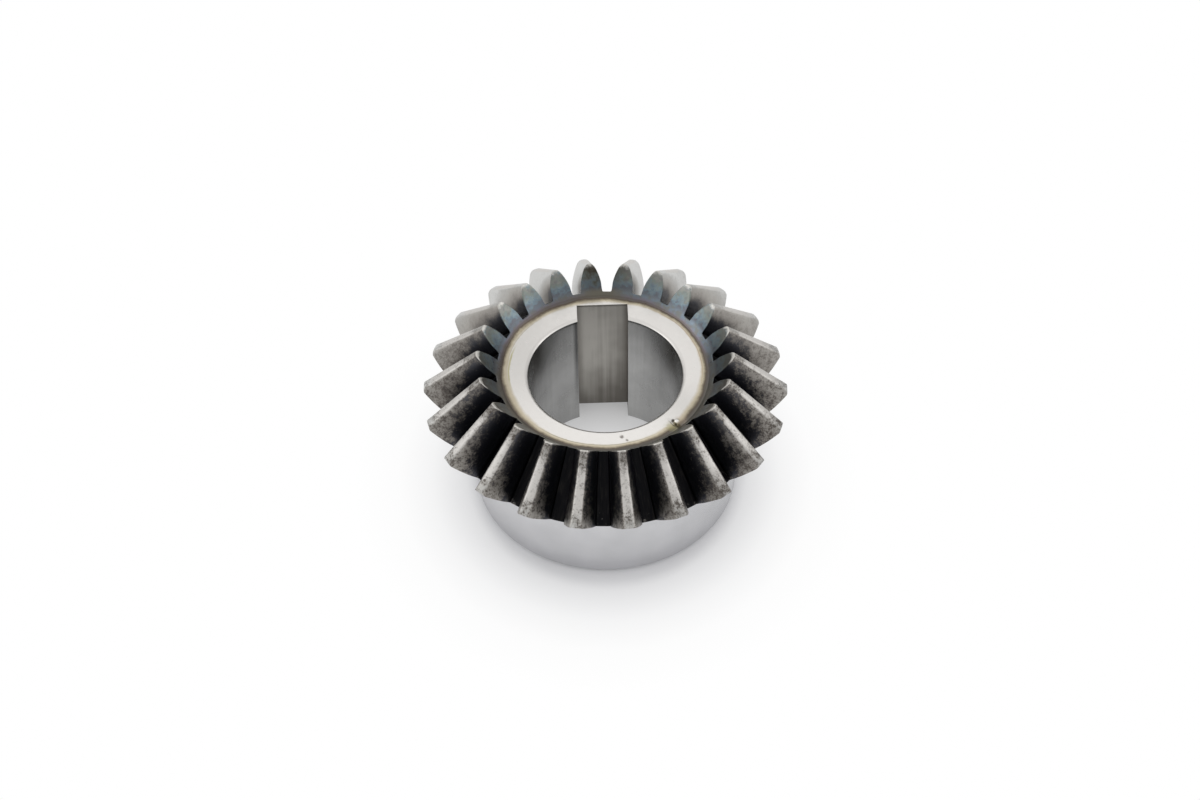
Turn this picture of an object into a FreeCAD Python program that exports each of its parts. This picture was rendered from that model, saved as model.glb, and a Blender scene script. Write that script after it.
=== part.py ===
import FreeCAD, Part
import math
import os

import Sketcher

# A straight bevel gear with its hub, turned and cut from one piece of steel.
# The gear stands on the back of its hub: the origin is the middle of that face,
# +Z runs up the bore towards the point where the teeth would meet, and the
# keyway is cut into the +Y side of the bore. Lengths are millimetres, angles degrees.

doc = FreeCAD.newDocument("bevel_gear_model")

# Driving sizes

drivingSizes = [
    ("teeth", 22),
    ("tooth_module", 3.0),          # at the large end
    ("pitch_angle", 45.0),          # between the axis and the pitch cone
    ("pressure_angle", 20.0),
    ("addendum", 3.3),              # at the large end
    ("dedendum", 3.9),              # at the large end
    ("root_taper", 2.2),            # between the pitch cone and the root cone
    ("root_radius", 1.1),           # corners of a tooth space at the large end
    ("face_width", 14.0),           # along the pitch cone
    ("rim_height", 0.8),            # turned edge round the large end of the teeth
    ("mounting_distance", 56.0),    # back of the hub to the point of the pitch cone
    ("overall_length", 29.2),
    ("seat_diameter", 40.0),        # flat ring on the front face
    ("hub_diameter", 52.0),
    ("hub_chamfer", 0.8),
    ("bore_diameter", 30.0),
    ("bore_chamfer", 0.6),
    ("key_width", 10.0),
    ("key_depth", 3.3),             # from the bore wall to the floor of the keyway
    ("key_turn", 2.9),              # from the middle of a tooth space to the keyway
    ("cutter_overrun", 2.0),        # tooth cut past both ends of the teeth
    ("cutter_reach", 0.12),         # tooth cut above the pitch cone, as a share of its radius
]

# Sizes worked out from them. A tooth is drawn on the back cone, laid flat: there it
# is a tooth of a larger spur gear, the virtual gear. Its flank is an involute, drawn
# on the circle through its base point, its pitch point and its outer point. The
# values from space_half_angle on are for a virtual gear of pitch radius 1.

derivedSizes = [
    ("pitch_radius", "Sizes.tooth_module * Sizes.teeth / 2"),
    ("cone_distance", "pitch_radius / sin(Sizes.pitch_angle)"),
    ("toe_share", "1 - Sizes.face_width / cone_distance"),
    ("tip_radius", "pitch_radius + Sizes.addendum * cos(Sizes.pitch_angle)"),
    ("tip_drop", "pitch_radius / tan(Sizes.pitch_angle) - Sizes.addendum * sin(Sizes.pitch_angle)"),
    ("outer_cut", "cone_distance + Sizes.cutter_overrun"),
    ("inner_cut", "cone_distance - Sizes.face_width - Sizes.cutter_overrun"),
    ("space_half_angle", "90 * cos(Sizes.pitch_angle) / Sizes.teeth"),
    ("base_half_angle", "space_half_angle - tan(Sizes.pressure_angle) * 180 / pi + Sizes.pressure_angle"),
    ("base_circle", "cos(Sizes.pressure_angle)"),
    ("outer_circle", "1 + Sizes.cutter_reach"),
    ("outer_pressure", "acos(base_circle / outer_circle) / 1 deg"),
    ("outer_half_angle", "base_half_angle + tan(outer_pressure) * 180 / pi - outer_pressure"),
    ("base_x", "base_circle * sin(base_half_angle)"),
    ("base_y", "base_circle * cos(base_half_angle) - 1"),
    ("pitch_x", "sin(space_half_angle)"),
    ("pitch_y", "cos(space_half_angle) - 1"),
    ("outer_x", "outer_circle * sin(outer_half_angle)"),
    ("outer_y", "outer_circle * cos(outer_half_angle) - 1"),
    ("base_square", "base_x ^ 2 + base_y ^ 2"),
    ("pitch_square", "pitch_x ^ 2 + pitch_y ^ 2"),
    ("outer_square", "outer_x ^ 2 + outer_y ^ 2"),
    ("chord_cross", "2 * (base_x * (pitch_y - outer_y) + pitch_x * (outer_y - base_y)"
                    " + outer_x * (base_y - pitch_y))"),
    ("flank_x", "(base_square * (pitch_y - outer_y) + pitch_square * (outer_y - base_y)"
                " + outer_square * (base_y - pitch_y)) / chord_cross"),
    ("flank_y", "(base_square * (outer_x - pitch_x) + pitch_square * (base_x - outer_x)"
                " + outer_square * (pitch_x - base_x)) / chord_cross"),
    ("flank_radius", "sqrt((flank_x - pitch_x) ^ 2 + (flank_y - pitch_y) ^ 2)"),
]


def writeSheet(name, rows, prefix):
    """Writes a sheet with one named value in each row."""
    sheet = doc.addObject("Spreadsheet::Sheet", name)
    for row, (alias, content) in enumerate(rows, start=1):
        sheet.set(f"A{row}", alias)
        sheet.set(f"B{row}", prefix + str(content))
        sheet.setAlias(f"B{row}", alias)
    doc.recompute()
    return sheet


sizes = writeSheet("Sizes", drivingSizes, "")
derived = writeSheet("Derived", derivedSizes, "=")


# Helpers

def originItem(body, role):
    return next(item for item in body.Origin.OriginFeatures if item.Role == role)


def newSketch(body, name, support):
    sketch = body.newObject("Sketcher::SketchObject", name)
    sketch.AttachmentSupport = [(support, "")]
    sketch.MapMode = "FlatFace"
    return sketch


def drive(sketch, name, expression, *constraint):
    """Adds a constraint to a sketch and binds its value to an expression."""
    index = sketch.addConstraint(Sketcher.Constraint(*constraint))
    sketch.renameConstraint(index, name)
    sketch.setExpression("Constraints." + name, expression)


def fix(sketch, kind, *places):
    sketch.addConstraint(Sketcher.Constraint(kind, *places))


def closedOutline(sketch, points):
    """Draws straight lines through the points and back to the first."""
    corners = [FreeCAD.Vector(x, y, 0) for x, y in points]
    following = corners[1:] + corners[:1]
    for start, end in zip(corners, following):
        sketch.addGeometry(Part.LineSegment(start, end))
    for index in range(len(corners)):
        fix(sketch, "Coincident", index, 2, (index + 1) % len(corners), 1)


def arcRun(sketch, side, centre, radius, angles):
    """Draws arcs of one circle between a run of angles; side -1 is their mirror image."""
    middle = FreeCAD.Vector(side * centre.x, centre.y, 0)
    circle = Part.Circle(middle, FreeCAD.Vector(0, 0, 1), radius)
    if side == -1:
        angles = [math.pi - angle for angle in reversed(angles)]
    arcs = []
    for start, end in zip(angles, angles[1:]):
        arcs.append(sketch.addGeometry(Part.ArcOfCircle(circle, start, end)))
    for arc, following in zip(arcs, arcs[1:]):
        fix(sketch, "Coincident", arc, 2, following, 1)
        fix(sketch, "Coincident", arc, 3, following, 3)
    return arcs


def roundEdges(feature, radius, height):
    """Names of the circular edges of a feature with this radius at this height."""
    found = []
    for index, edge in enumerate(feature.Shape.Edges, start=1):
        if not isinstance(edge.Curve, Part.Circle):
            continue
        sameRadius = abs(edge.Curve.Radius - radius) < 1e-4
        sameHeight = abs(edge.Curve.Center.z - height) < 1e-4
        if sameRadius and sameHeight:
            found.append(f"Edge{index}")
    return found


# Body

gear = doc.addObject("PartDesign::Body", "BevelGear")
gear.Label = "bevel_gear"
doc.recompute()


# Turned blank: hub, back cone, rim, face cone, front cone, flat ring and bore

def turnBlank(body):
    sketch = newSketch(body, "BlankSketch", originItem(body, "XZ_Plane"))
    boreRadius = sizes.bore_diameter / 2
    hubRadius = sizes.hub_diameter / 2
    rimTop = sizes.mounting_distance - derived.tip_drop
    rimBottom = rimTop - sizes.rim_height
    backRise = (derived.tip_radius - hubRadius) * math.tan(math.radians(sizes.pitch_angle))
    closedOutline(sketch, [
        (boreRadius, 0),
        (hubRadius, 0),
        (hubRadius, rimBottom - backRise),
        (derived.tip_radius, rimBottom),
        (derived.tip_radius, rimTop),
        (derived.tip_radius * derived.toe_share,
         sizes.mounting_distance - derived.tip_drop * derived.toe_share),
        (sizes.seat_diameter / 2, sizes.overall_length),
        (boreRadius, sizes.overall_length),
    ])
    hubBack, hubSide, backCone, rim, faceCone, frontCone, seat, boreWall = range(8)
    fix(sketch, "PointOnObject", hubBack, 1, -1)
    fix(sketch, "Horizontal", hubBack)
    fix(sketch, "Horizontal", seat)
    fix(sketch, "Vertical", hubSide)
    fix(sketch, "Vertical", rim)
    fix(sketch, "Vertical", boreWall)
    drive(sketch, "boreRadius", "Sizes.bore_diameter / 2",
          "DistanceX", -1, 1, hubBack, 1, boreRadius)
    drive(sketch, "hubRadius", "Sizes.hub_diameter / 2",
          "DistanceX", -1, 1, hubBack, 2, hubRadius)
    drive(sketch, "backSlope", "Sizes.pitch_angle",
          "Angle", backCone, math.radians(sizes.pitch_angle))
    drive(sketch, "rimHeight", "Sizes.rim_height",
          "DistanceY", rim, 1, rim, 2, sizes.rim_height)
    drive(sketch, "tipRadius", "Derived.tip_radius",
          "DistanceX", -1, 1, faceCone, 1, derived.tip_radius)
    drive(sketch, "tipHeight", "Sizes.mounting_distance - Derived.tip_drop",
          "DistanceY", -1, 1, faceCone, 1, rimTop)
    drive(sketch, "toeRadius", "Derived.tip_radius * Derived.toe_share",
          "DistanceX", -1, 1, frontCone, 1, derived.tip_radius * derived.toe_share)
    drive(sketch, "toeHeight", "Sizes.mounting_distance - Derived.tip_drop * Derived.toe_share",
          "DistanceY", -1, 1, frontCone, 1,
          sizes.mounting_distance - derived.tip_drop * derived.toe_share)
    drive(sketch, "seatRadius", "Sizes.seat_diameter / 2",
          "DistanceX", -1, 1, seat, 1, sizes.seat_diameter / 2)
    drive(sketch, "seatHeight", "Sizes.overall_length",
          "DistanceY", -1, 1, seat, 1, sizes.overall_length)
    blank = body.newObject("PartDesign::Revolution", "Blank")
    blank.Profile = (sketch, [""])
    blank.ReferenceAxis = (originItem(body, "Z_Axis"), [""])
    blank.Angle = 360
    doc.recompute()
    return blank


# Chamfers on both rims of the bore and on the back edge of the hub

def chamferEdges(body, name, base, edges, sizeName):
    chamfer = body.newObject("PartDesign::Chamfer", name)
    chamfer.Base = (base, edges)
    chamfer.setExpression("Size", "Sizes." + sizeName)
    doc.recompute()
    return chamfer


# One tooth space: its outline past the large end and past the small end, joined by
# straight lines that all run to the point of the pitch cone

def spaceSketch(body, name, plane, cutName):
    """Outline of a tooth space, square to the pitch cone, with x along the rim."""
    distance = getattr(derived, cutName)
    sketch = newSketch(body, name, plane)
    sketch.AttachmentOffset = FreeCAD.Placement(
        FreeCAD.Vector(0, 0, 0),
        FreeCAD.Rotation(FreeCAD.Vector(1, 0, 0), 90 - sizes.pitch_angle))
    sketch.setExpression("AttachmentOffset.Rotation.Angle", "90 - Sizes.pitch_angle")
    sketch.setExpression("AttachmentOffset.Base.y",
                         f"Sizes.mounting_distance - Derived.{cutName} * cos(Sizes.pitch_angle)")
    sketch.setExpression("AttachmentOffset.Base.z",
                         f"Derived.{cutName} * sin(Sizes.pitch_angle)")

    scale = f"Derived.{cutName} * tan(Sizes.pitch_angle)"
    rootDepth = (f"Sizes.dedendum + (Derived.{cutName} - Derived.cone_distance)"
                 " * tan(Sizes.root_taper)")
    cornerRadius = f"Sizes.root_radius * Derived.{cutName} / Derived.cone_distance"

    radius = distance * math.tan(math.radians(sizes.pitch_angle))
    flankCentre = FreeCAD.Vector(derived.flank_x * radius, derived.flank_y * radius, 0)
    flankRadius = derived.flank_radius * radius
    outerX = derived.outer_x * radius
    outerY = derived.outer_y * radius
    pitchX = derived.pitch_x * radius
    pitchY = derived.pitch_y * radius
    taper = math.tan(math.radians(sizes.root_taper))
    depth = sizes.dedendum + (distance - derived.cone_distance) * taper
    corner = sizes.root_radius * distance / derived.cone_distance
    fall = corner - depth - flankCentre.y
    cornerX = flankCentre.x - math.sqrt((flankRadius + corner) ** 2 - fall ** 2)
    cornerCentre = FreeCAD.Vector(cornerX, corner - depth, 0)
    meeting = math.atan2(-fall, flankCentre.x - cornerX)

    outerAngle = math.atan2(outerY - flankCentre.y, outerX - flankCentre.x)
    pitchAngle = math.atan2(pitchY - flankCentre.y, pitchX - flankCentre.x) % (2 * math.pi)
    flankAngles = [outerAngle, pitchAngle, meeting + math.pi]
    cornerAngles = [-math.pi / 2, -math.pi / 4, meeting]
    tip, foot = arcRun(sketch, 1, flankCentre, flankRadius, flankAngles)
    lower, upper = arcRun(sketch, 1, cornerCentre, corner, cornerAngles)
    footTwin, tipTwin = arcRun(sketch, -1, flankCentre, flankRadius, flankAngles)
    upperTwin, lowerTwin = arcRun(sketch, -1, cornerCentre, corner, cornerAngles)
    floor = sketch.addGeometry(Part.LineSegment(FreeCAD.Vector(-cornerX, -depth, 0),
                                                FreeCAD.Vector(cornerX, -depth, 0)))
    top = sketch.addGeometry(Part.LineSegment(FreeCAD.Vector(outerX, outerY, 0),
                                              FreeCAD.Vector(-outerX, outerY, 0)))

    fix(sketch, "Tangent", foot, 2, upper, 2)
    fix(sketch, "Tangent", footTwin, 1, upperTwin, 1)
    fix(sketch, "Tangent", lower, 1, floor, 2)
    fix(sketch, "Tangent", lowerTwin, 2, floor, 1)
    fix(sketch, "Coincident", tip, 1, top, 1)
    fix(sketch, "Coincident", tipTwin, 2, top, 2)
    fix(sketch, "Symmetric", tip, 3, tipTwin, 3, -2)
    fix(sketch, "Equal", tip, tipTwin)
    fix(sketch, "Equal", upper, upperTwin)
    fix(sketch, "Horizontal", floor)
    fix(sketch, "Horizontal", top)
    fix(sketch, "Horizontal", tip, 2, tipTwin, 1)
    fix(sketch, "Horizontal", lower, 2, lowerTwin, 1)
    drive(sketch, "flankX", f"Derived.flank_x * {scale}",
          "DistanceX", -1, 1, tip, 3, flankCentre.x)
    drive(sketch, "flankY", f"-Derived.flank_y * {scale}",
          "DistanceY", tip, 3, -1, 1, -flankCentre.y)
    drive(sketch, "flankRadius", f"Derived.flank_radius * {scale}", "Radius", tip, flankRadius)
    drive(sketch, "outerY", f"Derived.outer_y * {scale}", "DistanceY", -1, 1, tip, 1, outerY)
    drive(sketch, "pitchY", f"-Derived.pitch_y * {scale}", "DistanceY", tip, 2, -1, 1, -pitchY)
    drive(sketch, "rootDepth", rootDepth, "DistanceY", floor, 1, -1, 1, depth)
    drive(sketch, "cornerRadius", cornerRadius, "Radius", lower, corner)
    drive(sketch, "cornerMiddle", cornerRadius + " * sin(45)",
          "DistanceY", lower, 2, lower, 3, corner * math.sin(math.pi / 4))
    doc.recompute()
    return sketch


def cutTeeth(body):
    plane = body.newObject("PartDesign::Plane", "ToothSpacePlane")
    plane.AttachmentSupport = [(originItem(body, "YZ_Plane"), "")]
    plane.MapMode = "FlatFace"
    plane.AttachmentOffset = FreeCAD.Placement(FreeCAD.Vector(0, 0, 0),
                                               FreeCAD.Rotation(FreeCAD.Vector(0, 1, 0), 90))
    plane.setExpression("AttachmentOffset.Rotation.Angle", "90 - Sizes.key_turn")
    doc.recompute()
    cut = body.newObject("PartDesign::SubtractiveLoft", "ToothSpace")
    cut.Profile = (spaceSketch(body, "LargeEndSketch", plane, "outer_cut"), [""])
    cut.Sections = [(spaceSketch(body, "SmallEndSketch", plane, "inner_cut"), [""])]
    cut.Ruled = True
    doc.recompute()
    pattern = body.newObject("PartDesign::PolarPattern", "ToothSpaces")
    pattern.Originals = [cut]
    pattern.Axis = (originItem(body, "Z_Axis"), [""])
    pattern.Angle = 360
    pattern.setExpression("Occurrences", "Sizes.teeth")
    body.Tip = pattern
    doc.recompute()
    return pattern


# Keyway, broached through the whole bore

def cutKeyway(body):
    sketch = newSketch(body, "KeywaySketch", originItem(body, "XY_Plane"))
    half = sizes.key_width / 2
    floor = sizes.bore_diameter / 2 + sizes.key_depth
    closedOutline(sketch, [(-half, 0), (half, 0), (half, floor), (-half, floor)])
    nearSide, rightSide, farSide, leftSide = range(4)
    fix(sketch, "Horizontal", nearSide)
    fix(sketch, "Horizontal", farSide)
    fix(sketch, "Vertical", rightSide)
    fix(sketch, "Vertical", leftSide)
    fix(sketch, "Symmetric", nearSide, 1, nearSide, 2, -1, 1)
    drive(sketch, "keyWidth", "Sizes.key_width", "DistanceX", nearSide, 1, nearSide, 2, 2 * half)
    drive(sketch, "keyFloor", "Sizes.bore_diameter / 2 + Sizes.key_depth",
          "DistanceY", rightSide, 1, rightSide, 2, floor)
    keyway = body.newObject("PartDesign::Pocket", "Keyway")
    keyway.Profile = (sketch, [""])
    keyway.Type = "ThroughAll"
    keyway.Reversed = True
    body.Tip = keyway
    doc.recompute()
    return keyway


def removed(before, after):
    """Volume that a cut took away."""
    return before.Shape.Volume - after.Shape.Volume


blank = turnBlank(gear)
boreRims = (roundEdges(blank, sizes.bore_diameter / 2, 0)
            + roundEdges(blank, sizes.bore_diameter / 2, sizes.overall_length))
boreChamfers = chamferEdges(gear, "BoreChamfers", blank, boreRims, "bore_chamfer")
hubEdge = roundEdges(boreChamfers, sizes.hub_diameter / 2, 0)
hubChamfer = chamferEdges(gear, "HubChamfer", boreChamfers, hubEdge, "hub_chamfer")
teeth = cutTeeth(gear)
keyway = cutKeyway(gear)

for name, before, after in (("bore chamfers", blank, boreChamfers),
                            ("hub chamfer", boreChamfers, hubChamfer),
                            ("teeth", hubChamfer, teeth),
                            ("keyway", teeth, keyway)):
    print(name, "cut", round(removed(before, after), 1), "mm3")
    if removed(before, after) <= 0:
        raise SystemExit("nothing was cut for the " + name)


# Check and save

for item in doc.Objects:
    if "Invalid" in item.State or "Error" in item.State:
        raise SystemExit("failed: " + item.Name)
if gear.Shape.isNull() or not gear.Shape.isValid():
    raise SystemExit("bad shape: " + gear.Label)

os.makedirs("parts", exist_ok=True)
gear.Shape.exportStep("parts/" + gear.Label + ".step")
box = gear.Shape.optimalBoundingBox()
print("size", round(box.XLength, 2), round(box.YLength, 2), round(box.ZLength, 2),
      "volume", round(gear.Shape.Volume, 1), "solids", len(gear.Shape.Solids))
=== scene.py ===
import math

import bpy
import numpy as np
from mathutils import Euler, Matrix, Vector


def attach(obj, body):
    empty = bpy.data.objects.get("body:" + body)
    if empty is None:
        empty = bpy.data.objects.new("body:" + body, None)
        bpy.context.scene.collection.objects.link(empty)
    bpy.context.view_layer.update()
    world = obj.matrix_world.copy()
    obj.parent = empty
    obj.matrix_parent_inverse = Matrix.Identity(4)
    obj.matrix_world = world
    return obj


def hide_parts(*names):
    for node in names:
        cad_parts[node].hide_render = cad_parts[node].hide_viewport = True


# A used bevel gear of steel that stands on its hub: bright faced ring round the bore,
# temper colours beside it, black oxide between the teeth, bare metal where they have worn.
# Metres, with the axis on Z, the hub's back face at z = 0 and the keyway on the +Y side.

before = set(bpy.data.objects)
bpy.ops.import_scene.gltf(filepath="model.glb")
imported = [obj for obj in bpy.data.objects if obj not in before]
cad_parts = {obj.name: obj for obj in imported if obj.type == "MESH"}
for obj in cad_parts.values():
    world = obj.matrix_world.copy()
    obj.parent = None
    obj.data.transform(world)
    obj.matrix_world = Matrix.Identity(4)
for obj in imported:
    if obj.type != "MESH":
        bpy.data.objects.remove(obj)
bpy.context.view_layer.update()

scene = bpy.context.scene
scene.view_settings.view_transform = "Standard"


# Colour

def toLinear(hexColour):
    # Linear RGBA of an sRGB colour written as rrggbb.
    channels = [int(hexColour[place:place + 2], 16) / 255 for place in (0, 2, 4)]
    linear = [value / 12.92 if value <= 0.04045 else ((value + 0.055) / 1.055) ** 2.4
              for value in channels]
    return (*linear, 1.0)


# The gear's surface

gearShape = {
    "teeth": 22,
    "spaceAzimuth": math.radians(87.1),   # middle of the tooth space beside the keyway
    "apexHeight": 56.0e-3,                # point where all the tooth flanks meet
    "coneDistance": 33.0e-3 * math.sqrt(2),
    "pitchAngle": math.radians(45),
    "pressureAngle": math.radians(20),
    "addendum": 3.3e-3,
    "dedendum": 3.9e-3,
    "rootTaper": math.radians(2.2),
    "faceWidth": 14.0e-3,
    "rimHeight": 0.8e-3,
    "height": 29.2e-3,
    "seatRadius": 20.0e-3,
    "hubRadius": 26.0e-3,
    "hubChamfer": 0.8e-3,
    "boreRadius": 15.0e-3,
    "boreChamfer": 0.6e-3,
    "ringChamferDepth": 0.65,             # depth of the ring's chamfer, as a share of its width
    "leastChamfer": 0.12e-3,              # what is left of it over the keyway
    "keyAzimuth": math.pi / 2,
    "keyHalfWidth": 5.0e-3,
    "keyFloor": 18.3e-3,
    "rootRounding": 2.6e-3,               # width over which a flank turns into the root
    "samplesPerSide": 22,                 # points along half a tooth and half a space
    "cornerPull": 0.42e-3,                # length that a turn of one radian counts as there
    "sharpAngle": math.radians(38),
    # Corners of the outline in order. Each has its radius in millimetres (the toe's and
    # the heel's are in gearWear), the points on its curve and on the run to the next
    # corner, the finish of that run (0 faced, 1 oxidised, 2 turned, 3 bored) and how much
    # it is rubbed.
    "corners": {
        "ringEdge": (0.06, 2, 11, 0, 0.6),
        "seatEdge": (0.15, 3, 6, 0, 0.0),
        "toeEdge": (0.0, 4, 18, 1, 1.0),
        "heelEdge": (0.0, 5, 1, 1, 0.35),
        "rimEdge": (0.2, 3, 4, 2, 0.2),
        "hubTop": (0.6, 3, 4, 2, 0.0),
        "hubLow": (0.15, 2, 1, 2, 0.5),
        "hubBack": (0.15, 2, 3, 2, 0.5),
        "backEdge": (0.08, 2, 1, 2, 0.0),
        "boreLow": (0.06, 2, 9, 3, 0.0),
        "boreTop": (0.06, 2, 1, 0, 0.6),
    },
    "heldRuns": ("rimEdge", "hubTop", "hubBack", "boreLow"),   # long flat runs
}

gearWear = {
    "seed": 11,
    "landRounding": (0.95e-3, 0.6e-3),    # width where a flank turns into the land, toe and heel
    "roundTips": (1.9e-3, 1.3e-3),        # the same on teeth worn to a round arch
    "roundTipTeeth": {0: 1.0, 21: 1.0, 1: 0.5, 20: 0.5, 2: 0.2, 19: 0.2},
    "heelEdge": (0.3e-3, 0.85e-3),        # corner radius at the front and the back of the gear
    "toeEdge": (0.1e-3, 0.22e-3),
    "edgeGrowth": 1.5,                    # power by which they grow from front to back
    "heelRagged": 0.22e-3,                # how much each radius wanders along its edge
    "heelWaves": [19, 31, 47, 71, 113, 157, 203],
    "toeRagged": 0.03e-3,
    "toeWaves": [53, 97, 151, 211],
    "leastRadius": 0.04e-3,
    # Marks in the faced ring: azimuth in degrees, radius, half length along the radius,
    # half width across it and height above the face, in millimetres.
    "ringMarks": [(-47.3, 18.5, 1.0, 0.26, -0.6), (-44.9, 18.6, 0.4, 0.4, 0.45),
                  (-81.5, 16.8, 0.3, 0.2, -0.15), (-78.6, 17.9, 0.2, 0.15, -0.1)],
    # Where the heated zone's edge is shifted: azimuth and width in degrees, and the shift
    # outwards in millimetres.
    "heatShifts": [(145, 16, 0.25), (203, 20, -0.3), (262, 28, 0.15), (332, 14, -0.2),
                   (36, 26, 0.3)],
}


def turnFrom(azimuth, middle):
    # Turn from a direction to each azimuth, between minus and plus half a turn.
    return (azimuth - middle + math.pi) % (2 * math.pi) - math.pi


def bell(turn, width):
    # 1 in the middle, 0.37 at the width and nearly 0 at twice the width.
    return np.exp(-(turn / width) ** 2)


def involuteSide(shape):
    # One flank at the large end, from root to tip: azimuth from the middle of the space
    # and angle from the gear's axis, both seen from the point of the pitch cone. The
    # curve is the involute of the virtual gear that has teeth / cos(pitch angle) teeth.
    pitchAngle = shape["pitchAngle"]
    virtualTeeth = shape["teeth"] / math.cos(pitchAngle)
    baseShare = math.cos(shape["pressureAngle"])
    halfSpace = math.pi / 2 / virtualTeeth
    baseHalf = halfSpace - math.tan(shape["pressureAngle"]) + shape["pressureAngle"]
    pastTip = 1.13   # share of the pitch radius, a little past the tip
    flankPoints = 400
    share = np.linspace(baseShare, pastTip, flankPoints)
    pressure = np.arccos(np.clip(baseShare / share, 0, 1))
    halfAngle = baseHalf + np.tan(pressure) - pressure
    radius = shape["coneDistance"] * math.tan(pitchAngle)
    across = radius * share * np.sin(halfAngle)
    outward = radius * (share * np.cos(halfAngle) - 1)
    # Below the base circle the flank runs on straight, with the lean of its first points,
    # to well past the root.
    few = 12
    straightPoints = 60
    pastRoot = -2.2 * shape["dedendum"]
    depth = np.linspace(pastRoot, outward[0], straightPoints)[:-1]
    lean = (across[few] - across[0]) / (outward[few] - outward[0])
    across = np.concatenate([across[0] + (depth - outward[0]) * lean, across])
    outward = np.concatenate([depth, outward])
    distance = shape["coneDistance"]
    reach = distance * math.sin(pitchAngle) + outward * math.cos(pitchAngle)
    drop = distance * math.cos(pitchAngle) - outward * math.sin(pitchAngle)
    return np.arctan2(across, reach), np.arctan2(np.hypot(across, reach), drop)


def softMin(first, second, width):
    # The lower of two values, blended over a width where they cross.
    overlap = np.maximum(width - np.abs(first - second), 0) / width
    return np.minimum(first, second) - overlap ** 2 * width / 4


def toothProfile(shape, landRounding):
    # Azimuths over one tooth pitch, from space middle to space middle, with the angle
    # of the surface from the axis at the toe and at the heel, and its height as a share.
    azimuth, angle = involuteSide(shape)
    pitchAngle = shape["pitchAngle"]
    heelDistance = shape["coneDistance"]
    toeDistance = heelDistance - shape["faceWidth"]
    toeDepth = shape["dedendum"] - shape["faceWidth"] * math.tan(shape["rootTaper"])
    rootHeel = pitchAngle - math.atan(shape["dedendum"] / heelDistance)
    rootToe = pitchAngle - math.atan(toeDepth / toeDistance)
    tipAngle = pitchAngle + math.atan(shape["addendum"] / heelDistance)
    halfPitch = math.pi / shape["teeth"]

    finePoints = 4000
    fine = np.linspace(0, halfPitch, finePoints)
    flank = np.interp(fine, azimuth, angle)

    def surface(root, rounding):
        filled = -softMin(-flank, -root, shape["rootRounding"] / heelDistance)
        return softMin(filled, tipAngle, rounding / heelDistance)

    toe = surface(rootToe, landRounding[0])
    heel = surface(rootHeel, landRounding[1])
    # Points are spread by length along the outline, closer together where it turns.
    plain = surface(rootHeel, gearWear["landRounding"][1])
    across = fine * heelDistance * math.sin(pitchAngle)
    outward = plain * heelDistance
    direction = np.unwrap(np.arctan2(np.gradient(outward), np.gradient(across)))
    step = np.hypot(np.gradient(across), np.gradient(outward))
    weight = step + shape["cornerPull"] * np.abs(np.gradient(direction))
    spread = np.concatenate([[0], np.cumsum(0.5 * (weight[1:] + weight[:-1]))])
    chosen = np.interp(np.linspace(0, spread[-1], shape["samplesPerSide"] + 1), spread, fine)

    side = np.concatenate([chosen, 2 * halfPitch - chosen[-2:0:-1]])
    mirrored = np.minimum(side, 2 * halfPitch - side)
    toeAngle = np.interp(mirrored, fine, toe)
    heelAngle = np.interp(mirrored, fine, heel)
    level = (np.interp(mirrored, fine, plain) - rootHeel) / (tipAngle - rootHeel)
    return side, toeAngle, heelAngle, level


def keyWall(shape, azimuth):
    # Radius of the bore's wall at each azimuth: the bore's own, or where it is further out
    # the nearer one of the keyway's side wall and its floor.
    turn = np.abs(turnFrom(azimuth, shape["keyAzimuth"]))
    radius = np.full_like(azimuth, shape["boreRadius"])
    sideWall = shape["keyHalfWidth"] / np.maximum(np.sin(turn), 1e-6)
    floor = shape["keyFloor"] / np.maximum(np.cos(turn), 0.1)
    inKeyway = np.minimum(sideWall, floor)
    facing = turn < math.pi / 4
    return np.where(facing, np.maximum(radius, inKeyway), radius)


def gearSections(shape, wear):
    # Azimuths of all the sections, with the tooth profile looked up at each. A tooth
    # worn round at the tip takes a share of the rounder profile.
    side, toeAngle, heelAngle, level = toothProfile(shape, wear["landRounding"])
    roundToe, roundHeel = toothProfile(shape, wear["roundTips"])[1:3]
    pitch = 2 * math.pi / shape["teeth"]
    turns = shape["spaceAzimuth"] + pitch * np.arange(shape["teeth"])
    azimuth = (turns[:, None] + side[None, :]).ravel()
    corner = math.atan2(shape["keyHalfWidth"], shape["keyFloor"])
    mouth = math.asin(shape["keyHalfWidth"] / shape["boreRadius"])
    # The keyway's corners and mouth get sections of their own, in degrees beside each.
    near = np.concatenate([corner + np.radians([-0.5, -0.12, 0, 0.12, 0.5]),
                           np.linspace(corner, mouth, 8)[2:-1],
                           mouth + np.radians([-0.12, 0, 0.12, 0.5])])
    azimuth = np.concatenate([azimuth, shape["keyAzimuth"] + near, shape["keyAzimuth"] - near])
    azimuth = np.sort(azimuth % (2 * math.pi))
    leastTurn = 1e-4
    azimuth = azimuth[np.diff(azimuth, append=azimuth[0] + 2 * math.pi) > leastTurn]
    local = (azimuth - shape["spaceAzimuth"]) % pitch
    number = np.floor(((azimuth - shape["spaceAzimuth"]) % (2 * math.pi)) / pitch)
    closed = np.append(side, pitch)
    roundShare = np.zeros(shape["teeth"])
    for tooth, share in wear["roundTipTeeth"].items():
        roundShare[tooth] = share
    share = roundShare[number.astype(int) % shape["teeth"]]

    def lookUp(values):
        return np.interp(local, closed, np.append(values, values[0]))

    toe = lookUp(toeAngle) * (1 - share) + lookUp(roundToe) * share
    heel = lookUp(heelAngle) * (1 - share) + lookUp(roundHeel) * share
    return azimuth, toe, heel, lookUp(level), number


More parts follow.
